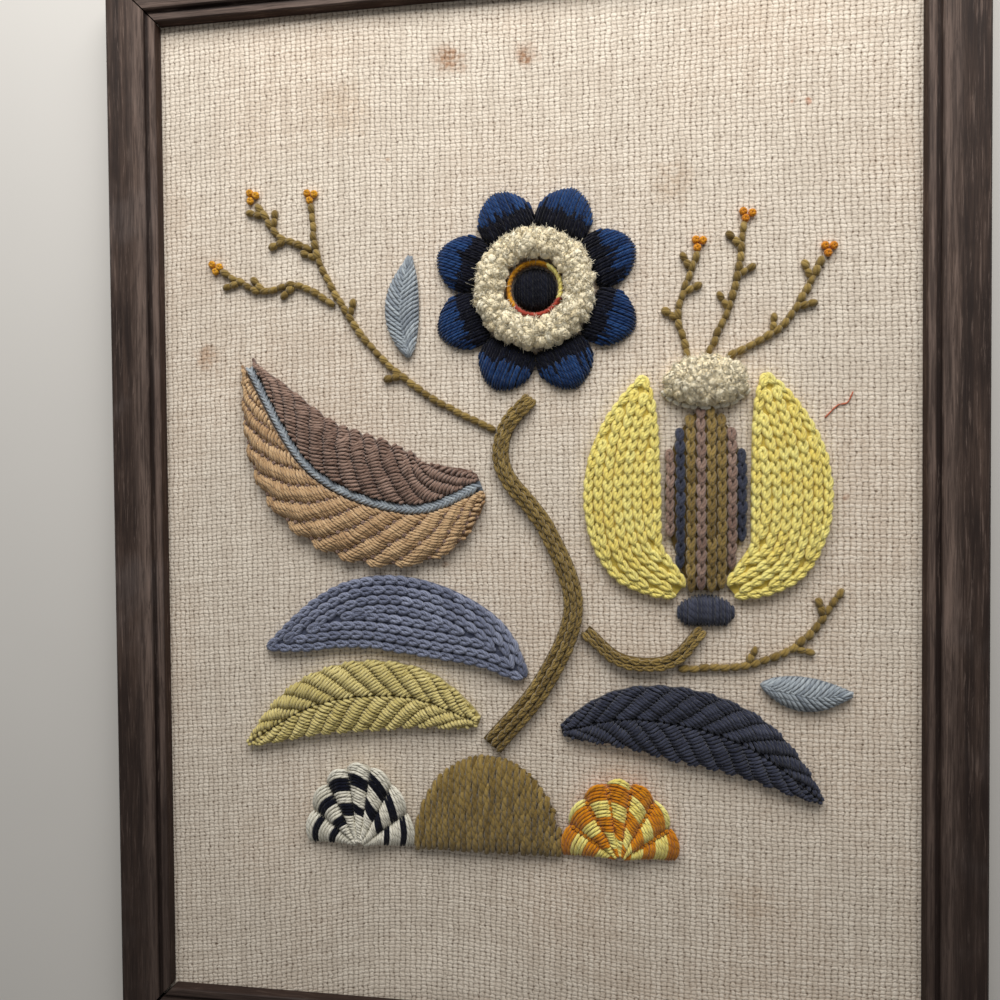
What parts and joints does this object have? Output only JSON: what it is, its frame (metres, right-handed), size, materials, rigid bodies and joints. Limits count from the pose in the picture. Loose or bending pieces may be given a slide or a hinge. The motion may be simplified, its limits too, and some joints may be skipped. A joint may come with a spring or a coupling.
{
  "type": "crewel embroidery panel with its wooden frame",
  "caption": "Upright rectangular panel of coarse natural cloth with raised wool flower stitching, held in a mitred dark wooden frame.",
  "frame": {"origin": "middle of the frame's back, on the surface that the panel lies on", "axes": "+X to the picture's right, +Y to the picture's top, +Z out of its face"},
  "size_m": [0.335, 0.436, 0.0176],
  "materials": {
    "cream_wool": "cream crewel wool, soft and matt",
    "dark_slate_wool": "dark slate crewel wool, soft and matt",
    "dark_wood": "weathered dark brown stained wood, worn along its arrises",
    "gold_wool": "gold crewel wool, soft and matt",
    "ivory_wool": "ivory crewel wool, soft and matt",
    "mauve_wool": "mauve crewel wool, soft and matt",
    "natural_cloth": "coarse slubby plain weave in natural beige",
    "navy_wool": "navy crewel wool, soft and matt",
    "olive_wool": "olive crewel wool, soft and matt",
    "orange_wool": "orange crewel wool, soft and matt",
    "pale_olive_wool": "pale olive crewel wool, soft and matt",
    "slate_wool": "slate crewel wool, soft and matt",
    "steel_wool": "steel crewel wool, soft and matt",
    "tan_wool": "tan crewel wool, soft and matt",
    "yellow_wool": "yellow crewel wool, soft and matt"
  },
  "bodies": {
    "root": {"bloom_boss": "navy_wool", "bloom_eyeline": "gold_wool", "bloom_petal_1": "navy_wool", "bloom_petal_2": "navy_wool", "bloom_petal_3": "navy_wool", "bloom_petal_4": "navy_wool", "bloom_petal_5": "navy_wool", "bloom_petal_6": "navy_wool", "bloom_petal_7": "navy_wool", "bloom_petal_8": "navy_wool", "bloom_pile": "cream_wool", "cloth": "natural_cloth", "fruit_cup": "dark_slate_wool", "fruit_heart": "olive_wool", "fruit_left": "yellow_wool", "fruit_right": "yellow_wool", "fruit_tuft": "cream_wool", "hill_banded": "ivory_wool", "hill_gold": "orange_wool", "hill_olive": "olive_wool", "leaf_dark_left": "dark_slate_wool", "leaf_dark_right": "dark_slate_wool", "leaf_great_left": "tan_wool", "leaf_great_right": "mauve_wool", "leaf_great_vein": "steel_wool", "leaf_olive_left": "pale_olive_wool", "leaf_olive_right": "pale_olive_wool", "leaf_slate": "slate_wool", "leaf_steel_left": "steel_wool", "leaf_steel_right": "steel_wool", "rail_bottom": "dark_wood", "rail_left": "dark_wood", "rail_right": "dark_wood", "rail_top": "dark_wood", "stem_fruit": "olive_wool", "stem_main": "olive_wool", "twig_crown_left": "olive_wool", "twig_crown_middle": "olive_wool", "twig_crown_right": "olive_wool", "twig_left_high": "olive_wool", "twig_left_long": "olive_wool", "twig_left_low": "olive_wool", "twig_low": "olive_wool"}
  },
  "joints": []
}
